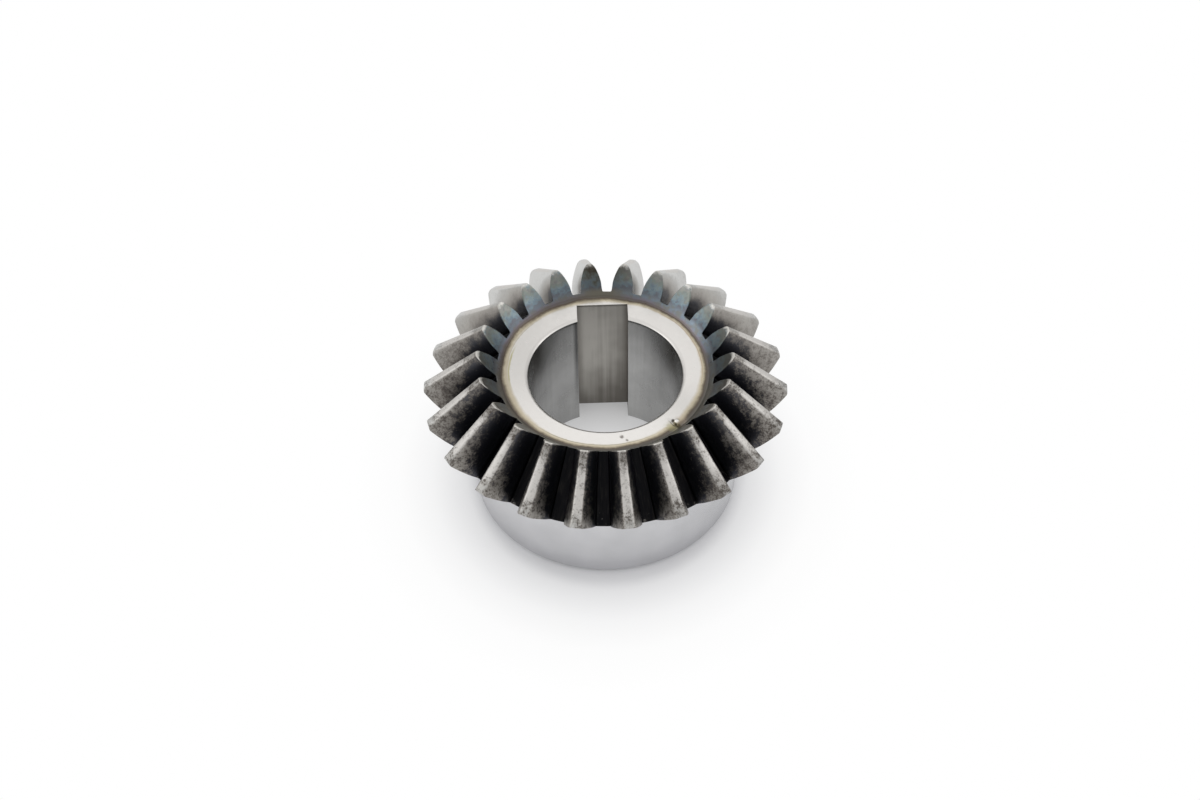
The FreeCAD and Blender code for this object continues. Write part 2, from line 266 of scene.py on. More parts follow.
def roundedPath(corners, radii, arcPoints, runPoints, heldRuns):
    # Rounds the corners of many outlines at once. corners has the shape (sections,
    # corners, 2), radii (sections, corners). Each corner becomes a quadratic curve from
    # a start before it to an end after it, bent towards the corner, and each run between
    # two curves is divided evenly. A held run has its first and last points close to the
    # curves, so that its long flat faces are shaded flat. Returns points and the number of
    # each run, with a half before a corner's own curve.
    held = 0.02    # share of a held run between its curve and its first point
    widest = 0.45  # share of a run that a curve may take
    before = np.roll(corners, 1, axis=1) - corners
    after = np.roll(corners, -1, axis=1) - corners
    lengthBefore = np.linalg.norm(before, axis=2)
    lengthAfter = np.linalg.norm(after, axis=2)
    before = before / np.maximum(lengthBefore, 1e-9)[..., None]
    after = after / np.maximum(lengthAfter, 1e-9)[..., None]
    cosine = np.clip(np.sum(before * after, axis=2), -0.9999, 0.9999)
    halfAngle = np.arccos(cosine) / 2
    trim = radii / np.tan(halfAngle)
    trim = np.minimum(trim, widest * np.minimum(lengthBefore, lengthAfter))
    start = corners + before * trim[..., None]
    end = corners + after * trim[..., None]
    pieces = []
    runs = []
    for index in range(corners.shape[1]):
        share = np.linspace(0, 1, arcPoints[index])[None, :, None]
        arc = ((1 - share) ** 2 * start[:, index:index + 1]
               + 2 * share * (1 - share) * corners[:, index:index + 1]
               + share ** 2 * end[:, index:index + 1])
        pieces.append(arc)
        runs.extend([index - 0.5] * arcPoints[index])
        following = (index + 1) % corners.shape[1]
        share = np.linspace(0, 1, runPoints[index] + 2)[None, 1:-1, None]
        if index in heldRuns:
            share[:, 0] = held
            share[:, -1] = 1 - held
        pieces.append(end[:, index:index + 1] * (1 - share)
                      + start[:, following:following + 1] * share)
        runs.extend([index] * runPoints[index])
    return np.concatenate(pieces, axis=1), np.array(runs)


def gearOutline(shape, azimuth, toeAngle, heelAngle):
    # Outline of the gear in the plane through its axis at each azimuth, as radius and
    # height: out along the front, down the outside, in along the back, up the bore.
    wall = keyWall(shape, azimuth)
    apex = shape["apexHeight"]
    tipAngle = shape["pitchAngle"] + math.atan(shape["addendum"] / shape["coneDistance"])
    pitchRadius = shape["coneDistance"] * math.sin(shape["pitchAngle"])
    rim = pitchRadius + shape["addendum"] * math.cos(shape["pitchAngle"])
    rimTop = apex - rim / math.tan(tipAngle)
    rimBottom = rimTop - shape["rimHeight"]
    toeShare = 1 - shape["faceWidth"] / shape["coneDistance"]
    toeRadius = rim * toeShare
    toeHeight = apex - (apex - rimTop) * toeShare
    slope = (toeHeight - shape["height"]) / (toeRadius - shape["seatRadius"])

    # The ray from the apex meets the front cone at the toe, and the rim or the back
    # cone, whichever comes first, at the heel.
    toeR = ((apex - shape["height"] + slope * shape["seatRadius"])
            / (slope + 1 / np.tan(toeAngle)))
    toeZ = apex - toeR / np.tan(toeAngle)
    backR = (apex - rimBottom + rim) / (1 / np.tan(heelAngle) + 1)
    heelR = np.minimum(backR, rim)
    heelZ = apex - heelR / np.tan(heelAngle)
    rimStep = 0.1e-3   # what is left of the rim under a tooth space
    lowR = np.where(backR > rim, rim, heelR - rimStep)
    lowZ = np.where(backR > rim, rimBottom, rimBottom - (rim - lowR))
    hubTop = rimBottom - (rim - shape["hubRadius"])

    ones = np.ones_like(azimuth)
    chamfer = np.maximum(shape["boreChamfer"] - (wall - shape["boreRadius"]), shape["leastChamfer"])
    rows = [
        (wall + chamfer, shape["height"] * ones),
        (shape["seatRadius"] * ones, shape["height"] * ones),
        (toeR, toeZ),
        (heelR, heelZ),
        (lowR, lowZ),
        (shape["hubRadius"] * ones, hubTop * ones),
        (shape["hubRadius"] * ones, shape["hubChamfer"] * ones),
        ((shape["hubRadius"] - shape["hubChamfer"]) * ones, 0 * ones),
        (wall + chamfer, 0 * ones),
        (wall, chamfer),
        (wall, shape["height"] - shape["ringChamferDepth"] * chamfer),
    ]
    return np.stack([np.stack(row, axis=1) for row in rows], axis=1)


def wander(azimuth, random, waves, strength):
    # A smooth closed random curve round the gear: a sum of sines of the azimuth, each
    # with its own whole number of waves and its own phase, scaled to the strength.
    phase = random.uniform(0, 2 * math.pi, len(waves))
    each = np.sin(np.asarray(waves)[:, None] * azimuth[None, :] + phase[:, None])
    return strength * np.sum(each, axis=0) / math.sqrt(len(waves))


def addMesh(name, grid, faceGroups):
    # Makes a closed mesh from a grid of points that joins up both ways.
    sections, points = grid.shape[:2]
    here = np.arange(sections)[:, None] * points + np.arange(points)[None, :]
    across = np.roll(here, -1, axis=0)
    quads = np.stack([here, np.roll(here, -1, axis=1), np.roll(across, -1, axis=1), across],
                     axis=2).reshape(-1, 4)
    mesh = bpy.data.meshes.new(name)
    mesh.vertices.add(sections * points)
    mesh.vertices.foreach_set("co", grid.reshape(-1).astype(np.float32))
    mesh.loops.add(quads.size)
    mesh.loops.foreach_set("vertex_index", quads.reshape(-1).astype(np.int32))
    mesh.polygons.add(len(quads))
    mesh.polygons.foreach_set("loop_start", np.arange(0, quads.size, 4, dtype=np.int32))
    mesh.polygons.foreach_set("material_index", faceGroups.reshape(-1).astype(np.int32))
    mesh.update(calc_edges=True)
    mesh.validate()
    mesh.shade_smooth()
    mesh.set_sharp_from_angle(angle=gearShape["sharpAngle"])
    piece = bpy.data.objects.new(name, mesh)
    scene.collection.objects.link(piece)
    return piece


def addAttribute(mesh, name, kind, key, values):
    # Stores a number or a vector at each point of the mesh, in the order of its grid.
    layer = mesh.attributes.new(name, kind, "POINT")
    layer.data.foreach_set(key, values.reshape(-1).astype(np.float32))


print("gear surface")
random = np.random.default_rng(gearWear["seed"])
azimuth, toeAngle, heelAngle, level, number = gearSections(gearShape, gearWear)
corners = gearOutline(gearShape, azimuth, toeAngle, heelAngle)
corner = {name: place for place, name in enumerate(gearShape["corners"])}
cornerRadius, arcPoints, runPoints, runFinish, rubbing = zip(*gearShape["corners"].values())
radii = np.tile(cornerRadius, (len(azimuth), 1)) * 1e-3
atBack = 0.5 + 0.5 * np.sin(azimuth)
for name in ("heelEdge", "toeEdge"):
    least, most = gearWear[name]
    radii[:, corner[name]] = least + (most - least) * atBack ** gearWear["edgeGrowth"]
radii[:, corner["heelEdge"]] += wander(azimuth, random, gearWear["heelWaves"], gearWear["heelRagged"])
radii[:, corner["toeEdge"]] += wander(azimuth, random, gearWear["toeWaves"], gearWear["toeRagged"])
radii = np.maximum(radii, gearWear["leastRadius"])
heldRuns = [corner[name] for name in gearShape["heldRuns"]]
path, runs = roundedPath(corners, radii, arcPoints, runPoints, heldRuns)

# Each mark in the ring's face is a hill or a dip with a bell-shaped section.
ringRows = (runs >= corner["ringEdge"] - 0.5) & (runs <= corner["seatEdge"] - 0.5)
for markAzimuth, radius, length, width, rise in gearWear["ringMarks"]:
    turn = turnFrom(azimuth, math.radians(markAzimuth))
    outward = (path[:, ringRows, 0] * 1e3 - radius) / length
    across = turn[:, None] * path[:, ringRows, 0] * 1e3 / width
    path[:, ringRows, 1] += rise * 1e-3 * np.exp(-outward ** 2 - across ** 2)

grid = np.stack([path[..., 0] * np.cos(azimuth)[:, None],
                 path[..., 0] * np.sin(azimuth)[:, None],
                 path[..., 1]], axis=2)
print("sections", grid.shape)

# A row of faces has the finish of the run that it ends in, and the keyway's walls and
# floor have their own.
boredFinish = runFinish[corner["boreLow"]]
broachedFinish = boredFinish + 1
hair = 1e-4   # keeps the sections on the mouth's own edge out
rowFinish = np.array(runFinish)[np.floor(np.roll(runs, -1)).astype(int) % len(runFinish)]
faceFinish = np.tile(rowFinish, (len(azimuth), 1))
keyMouth = math.asin(gearShape["keyHalfWidth"] / gearShape["boreRadius"])
inKeyway = np.abs(turnFrom(azimuth, gearShape["keyAzimuth"])) < keyMouth - hair
faceFinish[np.ix_(inKeyway, rowFinish == boredFinish)] = broachedFinish

gear = addMesh("gear_body", grid, faceFinish)
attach(gear, "root")
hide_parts("bevel_gear")

# What the finishes read from each point

coneDistance = gearShape["coneDistance"]
fromApex = np.hypot(path[..., 0], gearShape["apexHeight"] - path[..., 1])
along = (fromApex - (coneDistance - gearShape["faceWidth"])) / gearShape["faceWidth"]
coneAngle = np.arctan2(path[..., 0], gearShape["apexHeight"] - path[..., 1])
rootAngle = gearShape["pitchAngle"] - math.atan(gearShape["dedendum"] / coneDistance)
tipAngle = gearShape["pitchAngle"] + math.atan(gearShape["addendum"] / coneDistance)
height = (coneAngle - rootAngle) / (tipAngle - rootAngle)

# The teeth laid out flat for the streaks: length along the outline at the heel, distance
# from the apex, and a step from tooth to tooth so that no two are alike.
pitchRadius = coneDistance * math.sin(gearShape["pitchAngle"])
toothStep = 0.1
outline = np.concatenate([[0], np.cumsum(np.hypot(np.diff(azimuth) * pitchRadius,
                                                  np.diff(heelAngle) * coneDistance))])
shapeOfPath = path.shape[:2]
laidOut = np.stack([np.broadcast_to(outline[:, None], shapeOfPath), fromApex,
                    np.broadcast_to(toothStep * number[:, None], shapeOfPath)], axis=2)

# From here on these are columns, one row for each section of the gear.
azimuth = azimuth[:, None]
number = number[:, None]
stand = level[:, None]

# How far the black oxide has worn off: below 0 it is whole, above 0 the steel is bare.
# In each tooth space it keeps to a patch beside the root at the toe end, bounded by
# (stand / tipReach) ^ bow + (along / heelReach) ^ bow = 1, larger at the front of the
# gear than at the back. Each flank's patch is a little different.
pitch = 2 * math.pi / gearShape["teeth"]
intoPitch = (azimuth - gearShape["spaceAzimuth"]) % pitch / pitch
flankNumber = (2 * number + (intoPitch > 0.5)).astype(int)
flankCount = 2 * gearShape["teeth"]
towardsBack = np.sin(azimuth)
towardsRight = np.clip(np.cos(azimuth) * 1.6, 0, 1)
tipReach = (1.0 - 0.72 * np.clip((towardsBack + 0.1) / 1.1, 0, 1) ** 2.3
            + 0.12 * np.clip(-1.5 * towardsBack, 0, 1))
heelReach = 0.95 - 0.75 * np.clip((towardsBack + 0.4) / 1.4, 0, 1) ** 2.5
bow = 2 + 1.8 * np.clip(-towardsBack, 0, 1)
tipReach *= 1 + random.uniform(-0.07, 0.07, flankCount)[flankNumber]
heelReach += random.uniform(-0.06, 0.04, flankCount)[flankNumber]
# Beside the root at the front the oxide reaches the heel.
heelReach = heelReach + 0.9 * np.clip(1 - stand / 0.6, 0, 1) * np.clip(0.4 - towardsBack, 0, 1)
worn = ((np.maximum(stand, 0) / tipReach) ** bow
        + (np.clip(along, 0, 2) / heelReach) ** bow) ** (1 / bow) - 1
# The lands are bare.
worn = np.clip(worn, -1, 1.5) + 0.6 * np.clip((stand - 0.96) / 0.04, 0, 1)
# The lands are dull at the toe, and on the right side of the gear at the heel too.
dull = ((0.62 - 0.3 * towardsRight) * np.clip(1 - along / 0.32, 0, 1) ** 0.7
        + 0.55 * np.clip((along - 0.6) / 0.3, 0, 1) * towardsRight)
dull *= 1 + random.uniform(-0.25, 0.15, flankCount)[flankNumber]
# The flanks on the left side are a darker grey towards the heel.
flanksLeft = bell(turnFrom(azimuth, math.radians(168)), 0.5)
dull += 0.9 * flanksLeft * np.clip(along / 0.5, 0, 1) * np.clip((0.97 - stand) / 0.05, 0, 1)

# Painted light and shade on the tooth fronts: lightest on either side of the keyway and dark towards the
# front.
fromKeyway = np.abs(turnFrom(azimuth, gearShape["keyAzimuth"]))
frontLightShade = (0.54 + 0.53 * bell(fromKeyway - math.radians(44), math.radians(27))
              + 0.1 * (fromKeyway < 0.4))
# Painted shade beside the keyway and towards the front, on the tooth fronts and the tempered steel.
keywayFrontShade = np.clip(1.25 * bell(fromKeyway, 0.2) + np.clip((fromKeyway - 1.2) / 0.9, 0, 0.75), 0, 1)
# The wear is coarse at the front of the gear and even at the back and deep in the spaces.
coarse = 0.12 + 0.88 * np.clip((0.55 - towardsBack) / 0.9, 0, 1)
ragged = coarse * np.clip((worn + 1.0) / 0.75, 0.2, 1)
# Painted light and shade on the ring: a little darker on the left and brightest at the front; it is also
# a little darker beside its nick.
ringLightShade = (0.98 + 0.09 * np.clip(-towardsBack, 0, 1)
            - 0.15 * bell(turnFrom(azimuth, math.radians(165)), 0.75)
            - 0.15 * bell(turnFrom(azimuth, math.radians(328)), 0.3))
# Painted light on the tempered steel outside the ring: palest on the right behind the nick.
bandLight = (1 + 0.62 * bell(azimuth - math.radians(26), 0.3)
             + 0.25 * bell(azimuth - math.radians(56), 0.25))
# The heated zone starts further out or further in at some places.
heatEdge = np.zeros_like(azimuth)
for middle, width, shift in gearWear["heatShifts"]:
    heatEdge += shift * bell(turnFrom(azimuth, math.radians(middle)), math.radians(width))
# Edges are rubbed bright, and painted brighter at the front and sides of the gear as a highlight.
rowEdge = np.where(runs % 1 == 0.5, np.array(rubbing)[(runs + 0.5).astype(int)], 0)
edge = rowEdge[None, :] * np.clip(0.45 - 0.75 * towardsBack, 0.06, 1)

pointValues = {"along": along, "height": height, "stand": stand, "edge": edge, "worn": worn,
               "coarse": coarse, "frontLightShade": frontLightShade, "keywayFrontShade": keywayFrontShade, "dull": dull,
               "ringLightShade": ringLightShade, "heatEdge": heatEdge, "bandLight": bandLight,
               "ragged": ragged}
for name, values in pointValues.items():
    addAttribute(gear.data, name, "FLOAT", "value", np.broadcast_to(values, shapeOfPath))
addAttribute(gear.data, "laidOut", "FLOAT_VECTOR", "vector", laidOut)


# Materials

gearFinish = {
    # Faced ring, then outwards through the temper colours to the slate beside the teeth.
    "faced": "e4e1dd", "pale": "d8d2c7", "straw": "cac0ab", "sand": "bfb59f", "olive": "9f9683",
    "umber": "7d7466", "brown": "5c5249", "slate": "67605f", "violet": "6c6870",
    "blueGrey": "67717a", "greyOlive": "66635a",
    # Fronts of the teeth, from root to tip, then painted shade for them and the colour of their rubbed
    # rims.
    "temperRoot": "66696f", "temperBlue": "6c7b84", "temperPale": "7a878b", "temperGreen": "7b827d",
    "temperGrey": "8b8b86", "keywayShadeColour": "474239", "tipBare": "dedbd5",
    # Teeth: oxide from root to tip, black in the root with painted shade and with a painted sheen near
    # the tip, then thin oxide, bare worn steel and its spots.
    "rootOxideAndShade": "09090c", "oxideLow": "47484f", "oxide": "36373e", "oxidePaintedSheen": "56565a",
    "oxideBrown": "35322f", "oxideThin": "3e3e40",
    "wornDark": "605e5b", "wornDull": "7a7672", "wornSpot": "524c47", "wornMid": "97938e",
    "wornPale": "aba8a3", "satin": "b8b7b4", "satinPale": "cfcfcd", "land": "cbc8c4",
    # Stains, darker dents and a painted highlight in the faced ring: middle and size in millimetres,
    # strength and colour.
    "ringSpots": [
        ((12.1, -14.3, 29.2), 1.8, 0.55, "stainOlive"),
        ((14.0, -12.9, 29.2), 1.8, 0.3, "stainPink"),
        ((12.35, -12.9, 29.1), 0.55, 0.95, "grooveDark"),
        ((12.75, -13.9, 29.1), 0.7, 0.95, "grooveDark"),
        ((13.4, -14.3, 29.2), 0.6, 0.85, "stainBrown"),
        # The top of the nick's raised lip: a painted highlight.
        ((13.15, -13.2, 29.5), 0.62, 1.0, "nickHighlight"),
        ((2.55, -16.6, 29.1), 0.6, 0.8, "dentGrey"),
        ((3.5, -17.5, 29.1), 0.4, 0.8, "dentBrown"),
    ],
    "stainOlive": "a09a72", "stainPink": "b8a894", "grooveDark": "2e291c",
    "stainBrown": "4a4330", "nickHighlight": "f6f5f2", "dentGrey": "77706a",
    "dentBrown": "6f695f",
    # Turned lines in the ring: middle, radius, half length and half width in
    # millimetres, strength and colour.
    "lines": [
        ((-18.2, 2.2, 29.2), 18.45, 6.5, 0.15, 0.75, "lineOlive"),
        ((-17.0, 7.0, 29.2), 18.9, 10.0, 0.07, 0.6, "lineStraw"),
        ((-3.0, -18.6, 29.2), 18.92, 15.0, 0.08, 0.7, "lineMoss"),
        ((-18.8, -1.5, 29.2), 18.8, 9.0, 0.4, 0.5, "lineSand"),
        ((0.0, 0.0, 29.2), 20.15, 60.0, 0.1, 0.25, "lineBrown"),
        ((16.5, 8.0, 29.2), 19.1, 15.0, 0.1, 0.5, "lineAmber"),
    ],
    "lineOlive": "a8a36c", "lineStraw": "a59a7c", "lineMoss": "8a8468", "lineSand": "b3a993",
    "lineBrown": "4a4039", "lineAmber": "a1876a",
    # Turned, bored and broached steel.
    "turnedDark": "c4c4c6", "turned": "d6d6d8", "boredDark": "9b9b9a", "bored": "acacab",
    "broachedDark": "7d7973", "broached": "b6b3ad",
    # Typical roughness of each steel, and the depth of its marks in metres.
    "faced_steel": (0.3, 6e-6),
    "oxidised_steel": (0.35, 20e-6),
    "turned_steel": (0.24, 3e-6),
    "bored_steel": (0.25, 1e-6),
    "broached_steel": (0.36, 3e-6),
    # Between these distances from the middle of the heated zone, in millimetres, the
    # temper colours run from bright steel to blue. The middle is shifted off the axis.
    "heated": (18.25, 21.45),
    "heatedShift": (0.3, -0.3, 0),
    # Dark line up the bore: how far it is to the left of the axis, in metres.
    "boreLine": 5.3e-3,
}


def addNode(tree, kind, inputs=None, output=0, ramp=(), **settings):
    # Adds a shader node, sets its properties, feeds its inputs with values, names of
    # colours or other nodes' outputs, and gives back one of its own outputs. A ramp is a
    # list of places with the names of their colours.
    node = tree.nodes.new("ShaderNode" + kind)
    for key, value in settings.items():
        setattr(node, key, value)
    for number, (place, colour) in enumerate(ramp):
        if number == len(node.color_ramp.elements):
            node.color_ramp.elements.new(1)
        node.color_ramp.elements[number].position = place
        node.color_ramp.elements[number].color = toLinear(gearFinish[colour])
    for key, value in (inputs or {}).items():
        if isinstance(value, bpy.types.NodeSocket):
            tree.links.new(value, node.inputs[key])
        else:
            named = isinstance(value, str)
            node.inputs[key].default_value = toLinear(gearFinish[value]) if named else value
    return node.outputs[output]


def startMaterial(name):
    # A new metal with nothing on it yet. Gives back its tree, shader and depth of marks.
    material = bpy.data.materials.new(name)
    material.use_nodes = True
    gear.data.materials.append(material)
    shader = material.node_tree.nodes["Principled BSDF"]
    shader.inputs["Metallic"].default_value = 1.0
    shader.inputs["Roughness"].default_value, depth = gearFinish[name]
    return material.node_tree, shader, depth


def finishMaterial(tree, shader, colour, roughness, relief, depth):
    # Joins a finish to its shader: colour, roughness, and a bump of the given depth.
    bump = addNode(tree, "Bump", {"Height": relief, "Distance": depth, "Strength": 1.0})
    tree.links.new(colour, shader.inputs["Base Color"])
    tree.links.new(roughness, shader.inputs["Roughness"])
    tree.links.new(bump, shader.inputs["Normal"])


print("faced and tempered steel")
# Ring and tooth fronts: turned steel faced bright round the bore. Heat has coloured what
# lies outside a circle a little off the axis: straw, brown, violet, then blue on the teeth.
tree, shader, depth = startMaterial("faced_steel")
place = addNode(tree, "TexCoord", output=3)
inMillimetres = addNode(tree, "VectorMath", {0: place, "Scale": 1000}, operation="SCALE")
heatOut, ringLightOut, bandLightOut, heightOut, frontLightShadeOut, keywayFrontShadeOut, rubAndGlintOut = [
    addNode(tree, "Attribute", output=2, attribute_name=name)
    for name in ("heatEdge", "ringLightShade", "bandLight", "height", "frontLightShade", "keywayFrontShade", "edge")]
# Clouds of 4.5 mm and mottling of 0.8 mm move the borders of the colours.
offAxis = addNode(tree, "VectorMath", {0: inMillimetres, 1: (1, 1, 0), 2: gearFinish["heatedShift"]},
                  operation="MULTIPLY_ADD")
reach = addNode(tree, "VectorMath", {0: offAxis}, output=1, operation="LENGTH")
cloud = addNode(tree, "TexNoise", {"Vector": inMillimetres, "Scale": 0.22, "Detail": 3})
mottle = addNode(tree, "TexNoise", {"Vector": inMillimetres, "Scale": 1.3, "Detail": 6,
                 "Roughness": 0.62})
drift = addNode(tree, "Math", {0: cloud, 1: 0.9, 2: -0.45}, operation="MULTIPLY_ADD")
drift = addNode(tree, "Math", {0: drift, 1: heatOut}, operation="SUBTRACT")
jitter = addNode(tree, "Math", {0: mottle, 1: 0.35, 2: drift}, operation="MULTIPLY_ADD")
shifted = addNode(tree, "Math", {0: reach, 1: jitter}, operation="ADD")
heatStart, heatEnd = gearFinish["heated"]
bandPlace = addNode(tree, "MapRange", {"Value": shifted, "From Min": heatStart, "From Max": heatEnd})
# Where the zone starts further out it also starts more sharply.
sharper = addNode(tree, "MapRange", {"Value": heatOut, "From Min": -0.3, "From Max": 0.3,
                  "To Min": 0.9, "To Max": 1.7})
bandPlace = addNode(tree, "Math", {0: bandPlace, 1: 0.3}, operation="SUBTRACT")
bandPlace = addNode(tree, "Math", {0: bandPlace, 1: sharper, 2: 0.3}, operation="MULTIPLY_ADD")
band = addNode(tree, "ValToRGB", {"Fac": bandPlace}, ramp=[(0.05, "faced"), (0.16, "pale"),
               (0.28, "straw"), (0.36, "sand"), (0.44, "olive"), (0.52, "umber"), (0.59, "brown"),
               (0.68, "slate"), (0.82, "violet"), (1.0, "blueGrey")])
# The colours outside the ring are patchy, 1.3 mm across: violet here, olive grey there.
patches = addNode(tree, "TexNoise", {"Vector": inMillimetres, "Scale": 0.75, "Detail": 4,
                  "Roughness": 0.6})
tempered = addNode(tree, "MapRange", {"Value": bandPlace, "From Min": 0.55, "From Max": 0.72})
patchy = addNode(tree, "MapRange", {"Value": patches, "From Min": 0.45, "From Max": 0.62, "To Max": 0.65})
patchy = addNode(tree, "Math", {0: patchy, 1: tempered}, operation="MULTIPLY")
band = addNode(tree, "Mix", {0: patchy, 6: band, 7: "greyOlive"}, output=2, data_type="RGBA")
# Painted light and shade on the faced ring and on the tempered steel beside it.
ringLightOut = addNode(tree, "Mix", {0: tempered, 2: ringLightOut, 3: bandLightOut})
band = addNode(tree, "Mix", {0: 1.0, 6: band, 7: ringLightOut}, output=2, data_type="RGBA",
               blend_type="MULTIPLY")
# Painted shade on the tempered steel beside the keyway and towards the front.
bandShadeMix = addNode(tree, "Math", {0: tempered, 1: keywayFrontShadeOut}, operation="MULTIPLY")
band = addNode(tree, "Mix", {0: bandShadeMix, 6: band, 7: "greyOlive"}, output=2, data_type="RGBA")
upTooth = addNode(tree, "Math", {0: mottle, 1: 0.5, 2: -0.25}, operation="MULTIPLY_ADD")
upTooth = addNode(tree, "Math", {0: heightOut, 1: upTooth}, operation="ADD")
upTooth = addNode(tree, "Math", {0: patches, 1: 1.3, 2: upTooth}, operation="MULTIPLY_ADD")
upTooth = addNode(tree, "Math", {0: upTooth, 1: 0.65}, operation="SUBTRACT")
front = addNode(tree, "ValToRGB", {"Fac": upTooth}, ramp=[(0.0, "temperRoot"), (0.14, "temperBlue"),
                (0.32, "temperPale"), (0.55, "temperGreen"), (0.8, "temperGrey"),
                (1.0, "temperPale")])
# Violet grey patches break up the blue.
dusky = addNode(tree, "MapRange", {"Value": mottle, "From Min": 0.5, "From Max": 0.66, "To Max": 0.45})
front = addNode(tree, "Mix", {0: dusky, 6: front, 7: "violet"}, output=2, data_type="RGBA")
# Painted shade on the tooth fronts beside the keyway and towards the front, stronger higher up the teeth.
frontShadeMix = addNode(tree, "MapRange", {"Value": upTooth, "From Min": 0.1, "From Max": 0.75,
               "To Min": 0.25, "To Max": 1.0})
frontShadeMix = addNode(tree, "Math", {0: frontShadeMix, 1: keywayFrontShadeOut}, operation="MULTIPLY")
front = addNode(tree, "Mix", {0: frontShadeMix, 6: front, 7: "keywayShadeColour"}, output=2, data_type="RGBA")
# Painted light and shade on the tooth fronts, by azimuth.
front = addNode(tree, "Mix", {0: 1.0, 6: front, 7: frontLightShadeOut}, output=2, data_type="RGBA",
                blend_type="MULTIPLY")
onTooth = addNode(tree, "MapRange", {"Value": heightOut, "From Min": -0.15, "From Max": 0.08},
                  interpolation_type="SMOOTHSTEP")
colour = addNode(tree, "Mix", {0: onTooth, 6: band, 7: front}, output=2, data_type="RGBA")
# Olive stains lie round the nick in the ring and its dents are darker; the top of its raised lip has a
# painted highlight.
for middle, size, strength, tone in gearFinish["ringSpots"]:
    away = addNode(tree, "VectorMath", {0: inMillimetres, 1: middle}, output=1, operation="DISTANCE")
    away = addNode(tree, "Math", {0: mottle, 1: -size, 2: away}, operation="MULTIPLY_ADD")
    spotted = addNode(tree, "MapRange", {"Value": away, "From Min": -0.2 * size,
                      "From Max": 0.5 * size, "To Min": strength, "To Max": 0.0},
                      interpolation_type="SMOOTHSTEP")
    colour = addNode(tree, "Mix", {0: spotted, 6: colour, 7: tone}, output=2, data_type="RGBA")
# Fine turned lines, each part of a circle that fades out towards its ends.
for middle, radius, span, width, strength, tone in gearFinish["lines"]:
    away = addNode(tree, "VectorMath", {0: inMillimetres, 1: middle}, output=1, operation="DISTANCE")
    within = addNode(tree, "MapRange", {"Value": away, "From Min": 0.4 * span, "From Max": span,
                     "To Min": strength, "To Max": 0.0}, interpolation_type="SMOOTHSTEP")
    beside = addNode(tree, "Math", {0: reach, 1: radius}, operation="SUBTRACT")
    beside = addNode(tree, "Math", {0: jitter, 1: 0.4, 2: beside}, operation="MULTIPLY_ADD")
    beside = addNode(tree, "Math", {0: beside}, operation="ABSOLUTE")
    traced = addNode(tree, "MapRange", {"Value": beside, "From Min": 0.3 * width,
                     "From Max": 1.6 * width, "To Min": 1.0, "To Max": 0.0},
                     interpolation_type="SMOOTHSTEP")
    traced = addNode(tree, "Math", {0: traced, 1: within}, operation="MULTIPLY")
    colour = addNode(tree, "Mix", {0: traced, 6: colour, 7: tone}, output=2, data_type="RGBA")
# The rim of each tooth's front is rubbed bright, with a painted highlight that is strongest at the front
# of the gear.
rubbed = addNode(tree, "Math", {0: rubAndGlintOut, 1: 0.35, 2: heightOut}, operation="MULTIPLY_ADD")
rubbed = addNode(tree, "Math", {0: mottle, 1: 0.5, 2: rubbed}, operation="MULTIPLY_ADD")
rubbed = addNode(tree, "MapRange", {"Value": rubbed, "From Min": 1.06, "From Max": 1.3,
                 "To Max": 0.85}, interpolation_type="SMOOTHSTEP")
colour = addNode(tree, "Mix", {0: rubbed, 6: colour, 7: "tipBare"}, output=2, data_type="RGBA")
# Facing marks are circles round the bore, drawn about 0.15 mm apart.
flat = addNode(tree, "VectorMath", {0: inMillimetres, 1: (1, 1, 0)}, operation="MULTIPLY")
fromAxis = addNode(tree, "VectorMath", {0: flat}, output=1, operation="LENGTH")
circles = addNode(tree, "TexNoise", {"W": fromAxis, "Scale": 7, "Detail": 3}, noise_dimensions="1D")
relief = addNode(tree, "Math", {0: mottle, 1: 0.5, 2: circles}, operation="MULTIPLY_ADD")
roughness = addNode(tree, "MapRange", {"Value": mottle, "From Min": 0.3, "From Max": 0.7,
                    "To Min": 0.26, "To Max": 0.4})
finishMaterial(tree, shader, colour, roughness, relief, depth)

print("oxidised steel")
# Teeth: cut steel with black oxide in the spaces. Where the gear has run the oxide is
# rubbed off, in speckles at the front and evenly at the back, down to mottled grey steel.
tree, shader, depth = startMaterial("oxidised_steel")
place = addNode(tree, "TexCoord", output=3)
inMillimetres = addNode(tree, "VectorMath", {0: place, "Scale": 1000}, operation="SCALE")
wornOut, standOut, alongOut, coarseOut, raggedOut, dullOut, rubAndGlintOut = [
    addNode(tree, "Attribute", output=2, attribute_name=name)
    for name in ("worn", "stand", "along", "coarse", "ragged", "dull", "edge")]
layoutOut = addNode(tree, "Attribute", output=1, attribute_name="laidOut")
# Streaks lie along the teeth, 0.4 mm across and 3 mm long, and blotches of 1.2 mm, specks
# of 0.35 mm and clouds of 3.3 mm lie over all of the steel.
drawnOut = addNode(tree, "VectorMath", {0: layoutOut, 1: (2500, 330, 1000)}, operation="MULTIPLY")
streaks = addNode(tree, "TexNoise", {"Vector": drawnOut, "Scale": 1.0, "Detail": 4})
blotches = addNode(tree, "TexNoise", {"Vector": inMillimetres, "Scale": 0.85, "Detail": 6,
                   "Roughness": 0.64})
specks = addNode(tree, "TexNoise", {"Vector": inMillimetres, "Scale": 2.9, "Detail": 4,
                 "Roughness": 0.75})
clouds = addNode(tree, "TexNoise", {"Vector": inMillimetres, "Scale": 0.3, "Detail": 2})
